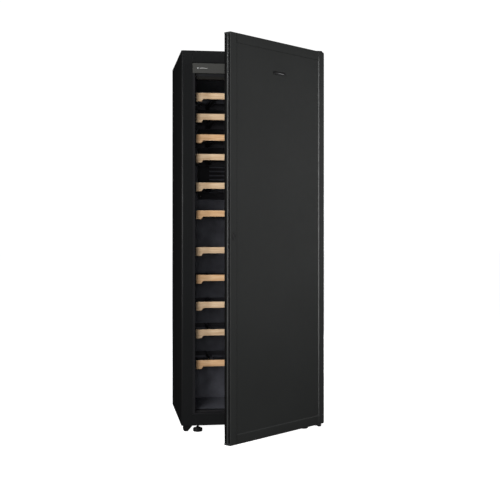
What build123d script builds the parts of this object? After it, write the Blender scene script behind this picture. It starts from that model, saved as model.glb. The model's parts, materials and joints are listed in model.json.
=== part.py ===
from build123d import *
import os

# Full-height, free-standing wine cooler: one insulated cabinet, one solid door hung on the
# right and open at the angle DOOR_OPEN, eleven sliding shelves with wooden fronts.
# Frame: X to the right, -Y to the front, +Z up. The origin is on the floor, at the middle
# of the square that the four feet stand on. Lengths are millimetres, angles are degrees.

# ---- driving dimensions: cabinet ----
WIDTH = 680.0            # outside width of the cabinet
DEPTH = 610.0            # cabinet body, without door and condenser
BODY_TOP = 1825.0        # height of the cabinet's top above the floor
BODY_BOTTOM = 32.5       # underside of the base sheet
SHEET = 1.2              # outer steel sheet
EDGE_R = 9.0             # rounded front edge of the outer sheets
STILE = 53.0             # front face of the side sheets, seen beside the opening
HEADER = 56.0            # front face above the opening
SILL = 53.5              # front face below the opening

# ---- driving dimensions: inside ----
CAVITY_HALF = 274.0      # half the width between the liner panels
LINER = 1.5              # liner sheet
FRAME_HALF = 287.0       # outer half-width of the throat frame, against the side sheets
CAVITY_BACK = 245.0      # front face of the back liner
FLOOR_Z = 101.5          # floor of the bottle store
CEILING_Z = 1704.0       # underside of the ceiling liner
STEP_Y = 85.0            # front of the step over the machine bay
STEP_Z = 288.0           # top of that step
BAY_FRONT = 112.0        # front wall of the machine bay, outside
BAY_TOP = 262.0          # ceiling of the machine bay, outside
FASCIA_LOW = 1718.0      # lower edge of the control fascia
FASCIA_HIGH = 1765.0     # upper edge of the control fascia

# ---- driving dimensions: shelves ----
SHELF_TOPS = [1632, 1531, 1431, 1336, 1197, 1062, 884, 750, 619, 485, 336]
FRONT_HALF = 264.0       # half the width of a wooden front
FRONT_H = 30.0           # height of a wooden front between its lugs
LUG_DROP = 12.5          # how far the end lugs hang below it
LUG_W = 26.0             # lug width at its lower edge
LUG_SLOPE = 9.0          # run of the slope from lug to lower edge
FRONT_T = 18.0           # thickness of a wooden front
SHELF_Y = -245.0         # front face of the wooden fronts
TRAY_BACK = 215.0        # rear end of the trays
RAIL_W = 16.0            # side rail of a tray
RAIL_H = 20.0
RUN_GAP = 0.3            # between a tray's rails and its runners

# ---- driving dimensions: door ----
DOOR_OPEN = 41.0         # opening angle at rest
DOOR_WIDTH = 684.0
DOOR_T = 36.0            # thickness
DOOR_GAP = 6.0           # from the cabinet's face to the back of the closed door
DOOR_BOTTOM = 31.5
DOOR_TOP = 1827.0
BORDER = 45.0            # width of the frame profiles around the door's skin
BEVEL = 4.0              # bevel on their inner edge
RECESS = 2.5             # depth of the skin behind the border
AXIS_IN = 14.3           # hinge axis, in from the cabinet's right side
AXIS_OUT = 24.0          # hinge axis, in front of the cabinet's face
CAP_H = {-1: 8.0, 1: 30.0}       # height of the corner caps of the free and of the hinged stile
CORNER_R = {-1: 3.0, 1: 9.0}     # their rounded outer corners
PIN_R = 4.0              # hinge pins
FIT = 0.05               # radial clearance of pins and stems in their bushes
LOCK_Z = 941.0
LOCK_IN = 22.0           # lock axis, in from the door's free edge
BADGE_Z = 1684.0

# ---- driving dimensions: underside, back and small parts ----
FOOT_X = 259.0
FOOT_Y = 275.0
FOOT_R = 22.5
PAD_RIM = 15.0           # height of a foot pad's upright rim
PAD_TOP = 18.0           # height of the whole pad
STEM_R = 5.0
FAN_Z = 1450.0
FAN_R = 52.0
CONDENSER_R = 2.5        # condenser tube

# ---- derived places ----
HALF = WIDTH / 2
DOOR_HALF = DOOR_WIDTH / 2
FRONT = -DEPTH / 2
REAR = DEPTH / 2
DOOR_BACK = FRONT - DOOR_GAP
DOOR_FACE = DOOR_BACK - DOOR_T
AXIS_X = HALF - AXIS_IN
AXIS_Y = FRONT - AXIS_OUT
THROAT_BACK = -244.0     # where the throat frame meets the liner
HEADER_BACK = -278.0     # back of the throat frame's header
TRIM_HALF = CAVITY_HALF + 0.5   # half-width between the throat frame's side strips


STANDING = (Align.CENTER, Align.CENTER, Align.MIN)


def block(x0, x1, y0, y1, z0, z1):
    """A box between two corners."""
    return Pos(x0, y0, z0) * Box(x1 - x0, y1 - y0, z1 - z0, align=(Align.MIN, Align.MIN, Align.MIN))


def rod_x(r, x0, x1, y, z):
    return Pos(x0, y, z) * Rot(0, 90, 0) * Cylinder(r, x1 - x0, align=STANDING)


def rod_y(r, x, y0, y1, z):
    return Pos(x, y0, z) * Rot(-90, 0, 0) * Cylinder(r, y1 - y0, align=STANDING)


def rod_z(r, x, y, z0, z1):
    return Pos(x, y, z0) * Cylinder(r, z1 - z0, align=STANDING)


def prism_y(points, y0, y1):
    """A closed outline of (x, z) points, carried from y0 to y1."""
    face = make_face(Polyline(*[(x, y0, z) for x, z in points], close=True))
    return extrude(face, amount=y1 - y0, dir=(0, 1, 0))


def prism_x(points, x0, x1):
    """A closed outline of (y, z) points, carried from x0 to x1."""
    face = make_face(Polyline(*[(x0, y, z) for y, z in points], close=True))
    return extrude(face, amount=x1 - x0, dir=(1, 0, 0))


def prism_z(points, z0, z1):
    """A closed outline of (x, y) points, carried from z0 to z1."""
    face = make_face(Polyline(*[(x, y, z0) for x, y in points], close=True))
    return extrude(face, amount=z1 - z0, dir=(0, 0, 1))


def solids_of(*shapes):
    """One compound of separate solids."""
    found = []
    for shape in shapes:
        found.extend(shape.solids())
    return Compound(children=found)


def vertical_edges_at(shape, x, y):
    """The upright edges of a shape that stand at one corner."""
    return [
        e for e in shape.edges().filter_by(Axis.Z)
        if abs(e.center().X - x) < 0.01 and abs(e.center().Y - y) < 0.01
    ]


# ---- outer casing ----
def casing_side(sign):
    """Side sheet: rounded front edge, front face beside the opening, flange beside the machine bay."""
    outer = block(-HALF, -HALF + STILE, FRONT, REAR, BODY_BOTTOM, BODY_TOP)
    outer = fillet(vertical_edges_at(outer, -HALF, FRONT), EDGE_R)
    inner = block(-HALF + SHEET, 0, FRONT + SHEET, REAR + 1, BODY_BOTTOM - 1, BODY_TOP + 1)
    inner = fillet(vertical_edges_at(inner, -HALF + SHEET, FRONT + SHEET), EDGE_R - SHEET)
    sheet = outer - inner
    sheet += block(-HALF, -CAVITY_HALF, REAR - SHEET, REAR, BODY_BOTTOM + SHEET, BAY_TOP)
    return sheet if sign < 0 else mirror(sheet, Plane.YZ)


def casing_top():
    """Top sheet with a front face above the opening; its front corners follow the side sheets."""
    inset = HALF - SHEET - 0.1
    plate = block(-inset, inset, FRONT + SHEET, REAR - SHEET, BODY_TOP - SHEET, BODY_TOP)
    corners = vertical_edges_at(plate, -inset, FRONT + SHEET) + vertical_edges_at(plate, inset, FRONT + SHEET)
    plate = fillet(corners, EDGE_R)
    face = block(-FRAME_HALF, FRAME_HALF, FRONT, FRONT + SHEET, BODY_TOP - HEADER, BODY_TOP)
    return plate + face


def casing_back():
    inset = HALF - SHEET - 0.1
    return block(-inset, inset, REAR - SHEET, REAR, BAY_TOP, BODY_TOP)


def casing_base():
    """Base sheet with the sill face, the boss for each front foot, and the lining of the machine bay."""
    inset = HALF - SHEET - 0.1
    floor = block(-inset, inset, FRONT + SHEET, REAR, BODY_BOTTOM, BODY_BOTTOM + SHEET)
    corners = vertical_edges_at(floor, -inset, FRONT + SHEET) + vertical_edges_at(floor, inset, FRONT + SHEET)
    floor = fillet(corners, EDGE_R)
    sill = block(-FRAME_HALF, FRAME_HALF, FRONT, FRONT + SHEET, BODY_BOTTOM, BODY_BOTTOM + SILL)
    base = floor + sill
    for x in (-FOOT_X, FOOT_X):
        base += rod_z(STEM_R + 5, x, -FOOT_Y, BODY_BOTTOM, BODY_BOTTOM + 26)
        base -= rod_z(STEM_R + FIT, x, -FOOT_Y, BODY_BOTTOM - 1, BODY_BOTTOM + 24)
    base += block(-CAVITY_HALF, CAVITY_HALF, BAY_FRONT, BAY_FRONT + SHEET, BODY_BOTTOM, BAY_TOP)
    base += block(-CAVITY_HALF, CAVITY_HALF, BAY_FRONT, REAR - SHEET, BAY_TOP - SHEET, BAY_TOP)
    wall = block(-CAVITY_HALF, -CAVITY_HALF + SHEET, BAY_FRONT, REAR, BODY_BOTTOM, BAY_TOP)
    return base + wall + mirror(wall, Plane.YZ)


# ---- insulation and liner ----
def insulation_foam():
    """Foam between casing and liner, as the slabs that fill each wall."""
    low, high = BODY_BOTTOM + SHEET, BODY_TOP - SHEET
    side_out, side_in, inside = HALF - SHEET, CAVITY_HALF + LINER, CAVITY_HALF
    foot_clear = FOOT_Y - 12
    slabs = []
    for s in (-1, 1):
        x0, x1 = sorted((s * side_out, s * side_in))
        slabs.append(block(x0, x1, THROAT_BACK, REAR - SHEET, low, high))
    slabs.append(block(-TRIM_HALF, TRIM_HALF, HEADER_BACK, REAR - SHEET, CEILING_Z + LINER, high))
    slabs.append(block(-side_in, side_in, CAVITY_BACK + LINER, REAR - SHEET, STEP_Z, CEILING_Z))
    slabs.append(block(-side_in, side_in, -foot_clear, BAY_FRONT, low, FLOOR_Z - 16))
    slabs.append(block(-side_in, side_in, THROAT_BACK, BAY_FRONT, FLOOR_Z - 16, FLOOR_Z - LINER))
    slabs.append(block(-inside, inside, STEP_Y + LINER, BAY_FRONT, FLOOR_Z - LINER, STEP_Z - LINER))
    slabs.append(block(-inside, inside, BAY_FRONT, REAR - SHEET, BAY_TOP, STEP_Z - LINER))
    return solids_of(*slabs)


def liner_sides():
    """The two embossed side panels of the cavity."""
    panels = []
    for s in (-1, 1):
        x0, x1 = sorted((s * CAVITY_HALF, s * (CAVITY_HALF + LINER)))
        panels.append(block(x0, x1, THROAT_BACK, CAVITY_BACK, FLOOR_Z, CEILING_Z))
    return solids_of(*panels)


def liner_back():
    x = CAVITY_HALF + LINER
    return block(-x, x, CAVITY_BACK, CAVITY_BACK + LINER, STEP_Z, CEILING_Z)


def liner_ceiling():
    y0, y1 = HEADER_BACK, CAVITY_BACK + LINER
    return block(-TRIM_HALF, TRIM_HALF, y0, y1, CEILING_Z, CEILING_Z + LINER)


def liner_floor():
    """Store floor, the upright step in front of the machine bay, and the shelf above the bay."""
    x = CAVITY_HALF
    return solids_of(
        block(-x, x, THROAT_BACK, STEP_Y, FLOOR_Z - LINER, FLOOR_Z),
        block(-x, x, STEP_Y, STEP_Y + LINER, FLOOR_Z - LINER, STEP_Z),
        block(-x, x, STEP_Y + LINER, CAVITY_BACK, STEP_Z - LINER, STEP_Z),
    )


def shelf_runners():
    """A pair of bars on the side panels under each tray."""
    bars = []
    for top in SHELF_TOPS:
        high = top - FRONT_H - RUN_GAP
        for s in (-1, 1):
            x0, x1 = sorted((s * CAVITY_HALF, s * (CAVITY_HALF - 18)))
            bar = block(x0, x1, SHELF_Y + FRONT_T + 1, TRAY_BACK, high - LUG_DROP + 1, high)
            bars.append(bar)
    return solids_of(*bars)


def throat_frame():
    """Plastic strips that join the steel front to the liner: two sides, a stepped sill and a header."""
    y0 = FRONT + SHEET
    strips = []
    for s in (-1, 1):
        x0, x1 = sorted((s * FRAME_HALF, s * TRIM_HALF))
        strips.append(block(x0, x1, y0 - 0.6, THROAT_BACK, BODY_BOTTOM + SILL, FASCIA_LOW))
    low, x = BODY_BOTTOM + SILL, TRIM_HALF
    sill = prism_x(
        [(y0 - 0.6, low), (y0 - 0.6, low + 6), (y0 + 14, low + 8), (y0 + 16, FLOOR_Z),
         (THROAT_BACK, FLOOR_Z), (THROAT_BACK, low)],
        -x, x,
    )
    strips.append(sill)
    header = block(-FRAME_HALF, FRAME_HALF, y0 + 9.8, HEADER_BACK, FASCIA_LOW, BODY_TOP - HEADER + 20)
    strips.append(header)
    strips.append(block(-x, x, y0 + 13, HEADER_BACK, CEILING_Z, FASCIA_LOW))
    return solids_of(*strips)


# ---- controls and light ----
BUTTON_R = 4.5
BUTTON_X = (28.0, 48.0)
BUTTON_Z = (FASCIA_LOW + FASCIA_HIGH) / 2
BUTTON_TRAVEL = 1.0


def control_fascia():
    """Grey strip across the top of the opening, with a display window and two button holes."""
    y0 = FRONT + SHEET
    strip = block(-FRAME_HALF, FRAME_HALF, y0, y0 + 9.8, FASCIA_LOW, FASCIA_HIGH)
    strip -= block(-32, 8, y0 - 1, y0 + 2, BUTTON_Z - 11, BUTTON_Z + 11)
    for x in BUTTON_X:
        strip -= rod_y(BUTTON_R + 0.4, x, y0 - 1, y0 + 12, BUTTON_Z)
    return strip


def display_window():
    y0 = FRONT + SHEET
    return block(-31.8, 7.8, y0 + 0.2, y0 + 2, BUTTON_Z - 10.8, BUTTON_Z + 10.8)


def button(x):
    y0 = FRONT + SHEET
    cap = rod_y(BUTTON_R, x, y0 - 1.4, y0 + 7, BUTTON_Z)
    return fillet(cap.edges().filter_by(GeomType.CIRCLE).sort_by(Axis.Y)[0], 0.7)


def light_diffuser():
    """Frosted bar under the front of the ceiling."""
    bar = block(-FRONT_HALF, FRONT_HALF, FRONT + SHEET + 14, FRONT + SHEET + 29, CEILING_Z - 14, CEILING_Z)
    return chamfer(bar.edges().filter_by(Axis.X).sort_by(Axis.Z)[:2], 3)


# ---- air circulation ----
def evaporator_cover():
    """Shallow cover on the back panel over the evaporator, with a ringed fan guard and a fan pin."""
    y0, y1 = 222.0, CAVITY_BACK
    cover = block(-210, 210, y0, y1, 1130, 1640)
    cover = chamfer(cover.faces().sort_by(Axis.Y)[0].edges(), 3)
    cover -= block(-207.5, 207.5, y0 + 2.5, y1 + 1, 1132.5, 1637.5)
    cover -= rod_y(FAN_R + 8, 0, y0 - 1, y0 + 5, FAN_Z)
    for r in (52.0, 40.0, 28.0):
        cover += rod_y(r, 0, y0, y0 + 2.5, FAN_Z) - rod_y(r - 2.5, 0, y0 - 1, y0 + 4, FAN_Z)
    for angle in (0, 60, 120):
        spoke = block(-FAN_R - 9, FAN_R + 9, y0, y0 + 2.5, -1.5, 1.5)
        cover += Pos(0, 0, FAN_Z) * Rot(0, angle, 0) * spoke
    cover += rod_y(17, 0, y0, y0 + 3.5, FAN_Z)
    cover += rod_y(2.5, 0, y0 + 3.5, y0 + 18, FAN_Z)
    for k in range(9):
        z = 1165 + 22 * k
        cover -= block(-150, 150, y0 - 1, y0 + 3, z, z + 8)
    return cover


def fan_rotor():
    """Hub with seven raked blades, turning on the cover's pin."""
    y0 = 222.0 + 5
    hub = rod_y(15, 0, y0, y0 + 14, FAN_Z)
    blade = Pos(0, y0 + 7, 0) * Rot(0, 0, 35) * block(-8, 8, -0.8, 0.8, 13, FAN_R - 3)
    for k in range(7):
        hub += Pos(0, 0, FAN_Z) * Rot(0, 360 / 7 * k, 0) * blade
    return hub - rod_y(2.5 + FIT, 0, y0 - 1, y0 + 15, FAN_Z)


# ---- cooling machinery ----
def compressor():
    """Domed steel shell on a foot plate with four rubber grommets."""
    x, y, z = -110.0, 212.0, BODY_BOTTOM + SHEET
    shell = rod_z(66, x, y, z + 14, z + 174)
    shell = fillet(shell.edges().filter_by(GeomType.CIRCLE), 30)
    shell += rod_z(69, x, y, z + 86, z + 92)
    shell += block(x - 92, x + 92, y - 40, y + 40, z + 12, z + 15)
    shell += rod_x(5, x + 50, x + 150, y, z + 130)
    grommets = [
        rod_z(11, x + sx * 80, y + sy * 28, z, z + 12)
        for sx in (-1, 1) for sy in (-1, 1)
    ]
    return solids_of(shell, *grommets)


def condenser():
    """Serpentine tube with upright wires across it, on a light frame behind the back sheet."""
    runs, pitch, half, z0 = 15, 80.0, 226.0, 470.0
    y = REAR + 8.0
    points = []
    for k in range(runs):
        ends = [(-half, y, z0 + pitch * k), (half, y, z0 + pitch * k)]
        points.extend(ends if k % 2 == 0 else reversed(ends))
    path = FilletPolyline(*points, radius=pitch * 0.3)
    tube = sweep(Plane(origin=points[0], z_dir=(1, 0, 0)) * Circle(CONDENSER_R), path=path)
    top = z0 + pitch * (runs - 1)
    y_wire = y + CONDENSER_R + 1.0
    frame = block(-half - 18, half + 18, REAR, y_wire + 1, z0 - 26, z0 - 16)
    frame += block(-half - 18, half + 18, REAR, y_wire + 1, top + 16, top + 26)
    for k in range(21):
        x = (k - 10) * 2 * half / 20
        frame += rod_z(0.9, x, y_wire, z0 - 22, top + 22)
    return solids_of(tube, frame)


def power_inlet():
    """Appliance inlet on a small post at the rear of the machine bay."""
    x, z = 205.0, BODY_BOTTOM + SHEET
    post = block(x - 27, x + 27, 262, 264, z, z + 70)
    body = block(x - 24, x + 24, 264, 292, z + 34, z + 62)
    socket = block(x - 12.5, x + 12.5, 276, 293, z + 39.5, z + 56.5)
    socket = chamfer(socket.edges().filter_by(Axis.Y).sort_by(Axis.Z)[-2:], 4)
    inlet = post + (body - socket)
    for dx, dz in ((-7, -1.5), (0, 2.5), (7, -1.5)):
        inlet += block(x + dx - 1, x + dx + 1, 275, 288, z + 46 + dz, z + 50 + dz)
    return inlet


# ---- hinges, feet and screws ----
PLATE_TOP = DOOR_TOP + 1.2
PLATE_LOW = DOOR_BOTTOM - 5.5


def hinge_brackets():
    """Upper and lower plates with their pins; each plate stands on a pad on the cabinet."""
    x0, x1 = HALF - 40, HALF - 3
    tip, root = AXIS_Y - 10, FRONT + 68
    upper = block(x0, x1, tip, root, PLATE_TOP, PLATE_TOP + 2.5)
    upper = fillet(vertical_edges_at(upper, x0, tip) + vertical_edges_at(upper, x1, tip), 9)
    upper += block(x0, x1, FRONT + EDGE_R, root, BODY_TOP, PLATE_TOP)
    upper += rod_z(PIN_R, AXIS_X, AXIS_Y, DOOR_TOP - 16, PLATE_TOP)
    lower = block(x0, x1, tip, root, PLATE_LOW - 4, PLATE_LOW)
    lower = fillet(vertical_edges_at(lower, x0, tip) + vertical_edges_at(lower, x1, tip), 9)
    lower += block(x0, x1, FRONT + EDGE_R, root, PLATE_LOW, BODY_BOTTOM)
    lower += rod_z(PIN_R, AXIS_X, AXIS_Y, PLATE_LOW, DOOR_BOTTOM + 16)
    lower += Pos(AXIS_X, AXIS_Y, 17) * extrude(RegularPolygon(10, 6), amount=PLATE_LOW - 21)
    return solids_of(upper, lower)


def hinge_cap():
    """Rounded plastic cover over the upper hinge plate."""
    x0, x1 = HALF - 43, HALF
    y0, y1 = AXIS_Y - 14, FRONT + 71
    z0, z1 = PLATE_TOP - 0.2, PLATE_TOP + 4.5
    cap = block(x0, x1, y0, y1, z0, z1)
    cap = fillet(vertical_edges_at(cap, x0, y0) + vertical_edges_at(cap, x1, y0), 12)
    cap = fillet(cap.faces().sort_by(Axis.Z)[-1].edges(), 2)
    pocket = block(x0 + 2.7, x1 - 2.7, y0 + 3.5, y1 - 2.7, z0 - 1, PLATE_TOP + 2.6)
    corners = vertical_edges_at(pocket, x0 + 2.7, y0 + 3.5) + vertical_edges_at(pocket, x1 - 2.7, y0 + 3.5)
    return cap - fillet(corners, 8)


def corner_skid():
    """Tapered glide under the front left corner."""
    x0 = -HALF + 10
    outline = [(x0 + 2, BODY_BOTTOM), (x0 + 44, BODY_BOTTOM), (x0 + 21, 5.5), (x0 + 3, 5.5), (x0, 10.5)]
    return prism_y(outline, FRONT + 6, FRONT + 52)


def foot_pad(x, y):
    """Round pad of one foot: upright rim, sloping shoulder."""
    rim = rod_z(FOOT_R, x, y, 0, PAD_RIM)
    slope = Cone(FOOT_R, FOOT_R - 2.5, PAD_TOP - PAD_RIM, align=STANDING)
    return rim + Pos(x, y, PAD_RIM) * slope


def levelling_foot(x):
    """Front foot that turns on its stem in the base boss, with a hexagon for the spanner."""
    foot = foot_pad(x, -FOOT_Y) + rod_z(STEM_R, x, -FOOT_Y, PAD_TOP, BODY_BOTTOM + 22)
    return foot + Pos(x, -FOOT_Y, PAD_TOP) * extrude(RegularPolygon(8.5, 6), amount=6)


def rear_feet():
    """Two fixed feet under the machine bay."""
    feet = [
        foot_pad(x, FOOT_Y) + rod_z(STEM_R + 4, x, FOOT_Y, PAD_TOP, BODY_BOTTOM)
        for x in (-FOOT_X, FOOT_X)
    ]
    return solids_of(*feet)


def screw_head(x, y, z, direction):
    """Pan head with a cross recess, lying on a face with the given outward direction."""
    head = Cylinder(4.0, 2.0, align=STANDING)
    head = fillet(head.edges().filter_by(GeomType.CIRCLE).sort_by(Axis.Z)[-1], 1.2)
    head -= Pos(0, 0, 1.6) * Box(4.2, 1.0, 1.6) + Pos(0, 0, 1.6) * Box(1.0, 4.2, 1.6)
    return Plane(origin=(x, y, z), z_dir=direction) * head


def screws():
    """Screws of the back sheet, of the evaporator cover and of the lower hinge."""
    heads = []
    for x in (-320, 320):
        for z in (300, 660, 1040, 1420, 1800):
            heads.append(screw_head(x, REAR, z, (0, 1, 0)))
    for x in (-196, 196):
        for z in (1146, 1624):
            heads.append(screw_head(x, 222, z, (0, -1, 0)))
    for x in (AXIS_X - 14, AXIS_X):
        heads.append(screw_head(x, FRONT + 45, PLATE_LOW - 4, (0, 0, -1)))
    return solids_of(*heads)


# ---- door, built closed and then turned about its axis ----
SKIN_Y = DOOR_FACE + RECESS
GROOVE_DEEP = 5.0        # finger groove in the free edge
GROOVE_FROM = 2.5        # where it starts and ends, behind the door's face
GROOVE_TO = 12.0
BEAD_TO = 23.0           # the bead behind the groove ends here
EDGE_STEP = 1.5          # the rest of the free edge lies this far in
FREE_EASE = 0.8          # rear corner of the free edge
HUNG_EASE = 4.0          # rear corner beside the hinges, clear of the cabinet
LIP = 1.5                # bevel along the outer edges of the face


def hang(shape):
    """Turn a shape from the closed door to the resting angle."""
    return Pos(AXIS_X, AXIS_Y, 0) * Rot(0, 0, DOOR_OPEN) * Pos(-AXIS_X, -AXIS_Y, 0) * shape


def stile_front():
    """Front of a stile's section as (x, y) points, from the outer edge to the bevel beside the skin."""
    x = -DOOR_HALF
    return [(x, DOOR_FACE + LIP), (x + LIP, DOOR_FACE), (x + BORDER - BEVEL, DOOR_FACE), (x + BORDER, SKIN_Y)]


def plain_outline(ease):
    """Section of a stile with a plain edge and an eased rear corner."""
    x = -DOOR_HALF
    return stile_front() + [(x + BORDER, DOOR_BACK), (x + ease, DOOR_BACK), (x, DOOR_BACK - ease)]


def grooved_outline():
    """Section of the free stile: a finger groove, then a bead, then a flat a little further in."""
    x = -DOOR_HALF
    deep, flat = x + GROOVE_DEEP, x + EDGE_STEP
    back = [(x + BORDER, DOOR_BACK), (flat + FREE_EASE, DOOR_BACK), (flat, DOOR_BACK - FREE_EASE)]
    bead = [
        (flat, DOOR_FACE + BEAD_TO + 1), (x + 0.6, DOOR_FACE + BEAD_TO), (x, DOOR_FACE + BEAD_TO - 2),
        (x, DOOR_FACE + GROOVE_TO + 2), (x + 0.6, DOOR_FACE + GROOVE_TO),
    ]
    groove = [
        (deep, DOOR_FACE + GROOVE_TO - 1), (deep, DOOR_FACE + GROOVE_FROM + 1),
        (x + 1, DOOR_FACE + GROOVE_FROM),
    ]
    return stile_front() + back + bead + groove


def door_frame():
    """Four profiles around the door: two stiles between corner caps and two rails between the stiles."""
    lock_x = -DOOR_HALF + LOCK_IN
    free = prism_z(grooved_outline(), DOOR_BOTTOM + CAP_H[-1], DOOR_TOP - CAP_H[-1])
    free -= rod_y(6.1, lock_x, DOOR_FACE - 1, DOOR_BACK + 1, LOCK_Z)
    hung = mirror(prism_z(plain_outline(HUNG_EASE), DOOR_BOTTOM + CAP_H[1], DOOR_TOP - CAP_H[1]), Plane.YZ)
    rails = []
    for z, s in ((DOOR_BOTTOM, 1), (DOOR_TOP, -1)):
        outline = [
            (DOOR_FACE + LIP, z), (DOOR_FACE, z + s * LIP), (DOOR_FACE, z + s * (BORDER - BEVEL)),
            (SKIN_Y, z + s * BORDER), (DOOR_BACK, z + s * BORDER), (DOOR_BACK, z),
        ]
        rails.append(prism_x(outline, -DOOR_HALF + BORDER, DOOR_HALF - BORDER))
    return solids_of(hang(free), hang(hung), hang(rails[0]), hang(rails[1]))


def door_skin():
    x = DOOR_HALF - BORDER
    return hang(block(-x, x, SKIN_Y, SKIN_Y + SHEET, DOOR_BOTTOM + BORDER, DOOR_TOP - BORDER))


def door_foam():
    x = DOOR_HALF - BORDER
    return hang(block(-x, x, SKIN_Y + SHEET, DOOR_BACK - LINER, DOOR_BOTTOM + BORDER, DOOR_TOP - BORDER))


def door_liner():
    x = DOOR_HALF - BORDER
    return hang(block(-x, x, DOOR_BACK - LINER, DOOR_BACK, DOOR_BOTTOM + BORDER, DOOR_TOP - BORDER))


def door_gasket():
    """Magnetic seal: four mitred strips on the back of the frame profiles."""
    out_x, wide, tall = 305.0, 13.0, DOOR_GAP - 0.4
    z0, z1 = DOOR_BOTTOM + 20, DOOR_TOP - 30
    y0, y1 = DOOR_BACK, DOOR_BACK + tall
    strips = []
    for s in (-1, 1):
        outer, inner = s * out_x, s * (out_x - wide)
        outline = [(outer, z0), (outer, z1), (inner, z1 - wide), (inner, z0 + wide)]
        strips.append(prism_y(outline, y0, y1))
    for z, s in ((z0, 1), (z1, -1)):
        outline = [(-out_x, z), (out_x, z), (out_x - wide, z + s * wide), (wide - out_x, z + s * wide)]
        strips.append(prism_y(outline, y0, y1))
    return solids_of(*[hang(s) for s in strips])


def corner_block(side, z, out):
    """Block around one cap, rounded where the cap's outer end meets the door's edge."""
    x0, x1 = sorted((side * DOOR_HALF, side * (DOOR_HALF - BORDER)))
    end = z + CAP_H[side] if out > 0 else z
    body = block(x0, x1, DOOR_FACE - 1, DOOR_BACK + 1, z, z + CAP_H[side])
    corner = [
        e for e in body.edges().filter_by(Axis.Y)
        if abs(e.center().X - side * DOOR_HALF) < 0.01 and abs(e.center().Z - end) < 0.01
    ]
    return fillet(corner, CORNER_R[side])


def door_end_caps():
    """Corner pieces that close the stiles; the two on the hinge side carry the bushes."""
    caps = []
    for side, ease in ((-1, FREE_EASE), (1, HUNG_EASE)):
        for z, out in ((DOOR_BOTTOM, -1), (DOOR_TOP - CAP_H[side], 1)):
            cap = prism_z(plain_outline(ease), z, z + CAP_H[side])
            if side > 0:
                cap = mirror(cap, Plane.YZ)
            cap = cap & corner_block(side, z, out)
            if side > 0:
                cap -= rod_z(8, AXIS_X, AXIS_Y, DOOR_BOTTOM - 1, DOOR_BOTTOM + 18)
                cap -= rod_z(8, AXIS_X, AXIS_Y, DOOR_TOP - 18, DOOR_TOP + 1)
            caps.append(hang(cap))
    return solids_of(*caps)


def hinge_bushes():
    """Plain bushes for the two hinge pins."""
    bushes = []
    for z in (DOOR_BOTTOM, DOOR_TOP - 18):
        bore = rod_z(PIN_R + FIT, AXIS_X, AXIS_Y, z - 1, z + 19)
        bushes.append(hang(rod_z(8, AXIS_X, AXIS_Y, z, z + 18) - bore))
    return solids_of(*bushes)


def lock_escutcheon():
    """Oval plate around the lock on the face of the free stile."""
    x = -DOOR_HALF + LOCK_IN
    face = Plane(origin=(x, DOOR_FACE, LOCK_Z), x_dir=(0, 0, 1), z_dir=(0, -1, 0))
    plate = extrude(face * SlotOverall(32, 17), amount=2)
    plate = fillet(plate.faces().sort_by(Axis.Y)[0].edges(), 1)
    return hang(plate - rod_y(6.4, x, DOOR_FACE - 3, DOOR_FACE + 1, LOCK_Z))


def lock_cylinder():
    """Key cylinder with a slot and, behind the door, a short cam."""
    x = -DOOR_HALF + LOCK_IN
    plug = rod_y(6.05, x, DOOR_FACE - 1.2, DOOR_BACK + 0.6, LOCK_Z)
    plug -= block(x - 0.9, x + 0.9, DOOR_FACE - 2, DOOR_FACE + 6, LOCK_Z - 4, LOCK_Z + 4)
    cam = block(x - 4, x + 4, DOOR_BACK + 0.6, DOOR_BACK + 3.2, LOCK_Z - 5, LOCK_Z + 13)
    return hang(plug + cam)


def badge():
    """Blank plate near the top of the door."""
    plate = block(-45, 45, SKIN_Y - 1.2, SKIN_Y, BADGE_Z - 8, BADGE_Z + 8)
    return hang(chamfer(plate.faces().sort_by(Axis.Y)[0].edges(), 0.4))


# ---- shelves ----
def shelf_front(top):
    """Wooden front with a lug at each end that hangs down over the runner."""
    low = top - FRONT_H
    x, inner = FRONT_HALF, FRONT_HALF - LUG_W
    outline = [(-x, top), (-x, low - LUG_DROP), (-inner, low - LUG_DROP), (-inner + LUG_SLOPE, low)]
    outline += [(inner - LUG_SLOPE, low), (inner, low - LUG_DROP), (x, low - LUG_DROP), (x, top)]
    board = prism_y(outline, SHELF_Y, SHELF_Y + FRONT_T)
    return chamfer(board.edges().filter_by(Axis.X).sort_by(Axis.Z)[-2:], 2)


def cradle_bar(x, z0, z1, y0, y1):
    """Bar from front to back with open notches, so that bottles lie across the shelf."""
    count, half_top, half_low, deep = 5, 33.0, 18.0, 9.0
    pitch = (y1 - y0) / count
    outline = [(y0, z0), (y0, z1)]
    for k in range(count):
        mid = y0 + pitch * (k + 0.5)
        outline += [(mid - half_top, z1), (mid - half_low, z1 - deep)]
        outline += [(mid + half_low, z1 - deep), (mid + half_top, z1)]
    outline += [(y1, z1), (y1, z0)]
    return prism_x(outline, x - 9, x + 9)


def shelf_tray(top):
    """Side rails, cross bars and notched bars behind a wooden front."""
    z0 = top - FRONT_H
    y0, y1 = SHELF_Y + FRONT_T, TRAY_BACK
    outer = FRONT_HALF + 2
    rails = []
    for s in (-1, 1):
        a, b = sorted((s * outer, s * (outer - RAIL_W)))
        rails.append(block(a, b, y0, y1, z0, z0 + RAIL_H))
    inner = outer - RAIL_W
    front = block(-inner, inner, y0, y0 + 14, z0, z0 + RAIL_H)
    rear = block(-inner, inner, y1 - 14, y1, z0, z0 + RAIL_H)
    bars = [cradle_bar(x, z0 + 2, z0 + RAIL_H, y0 + 14, y1 - 14) for x in (-165, 0, 165)]
    return solids_of(*rails, front, rear, *bars)


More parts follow.
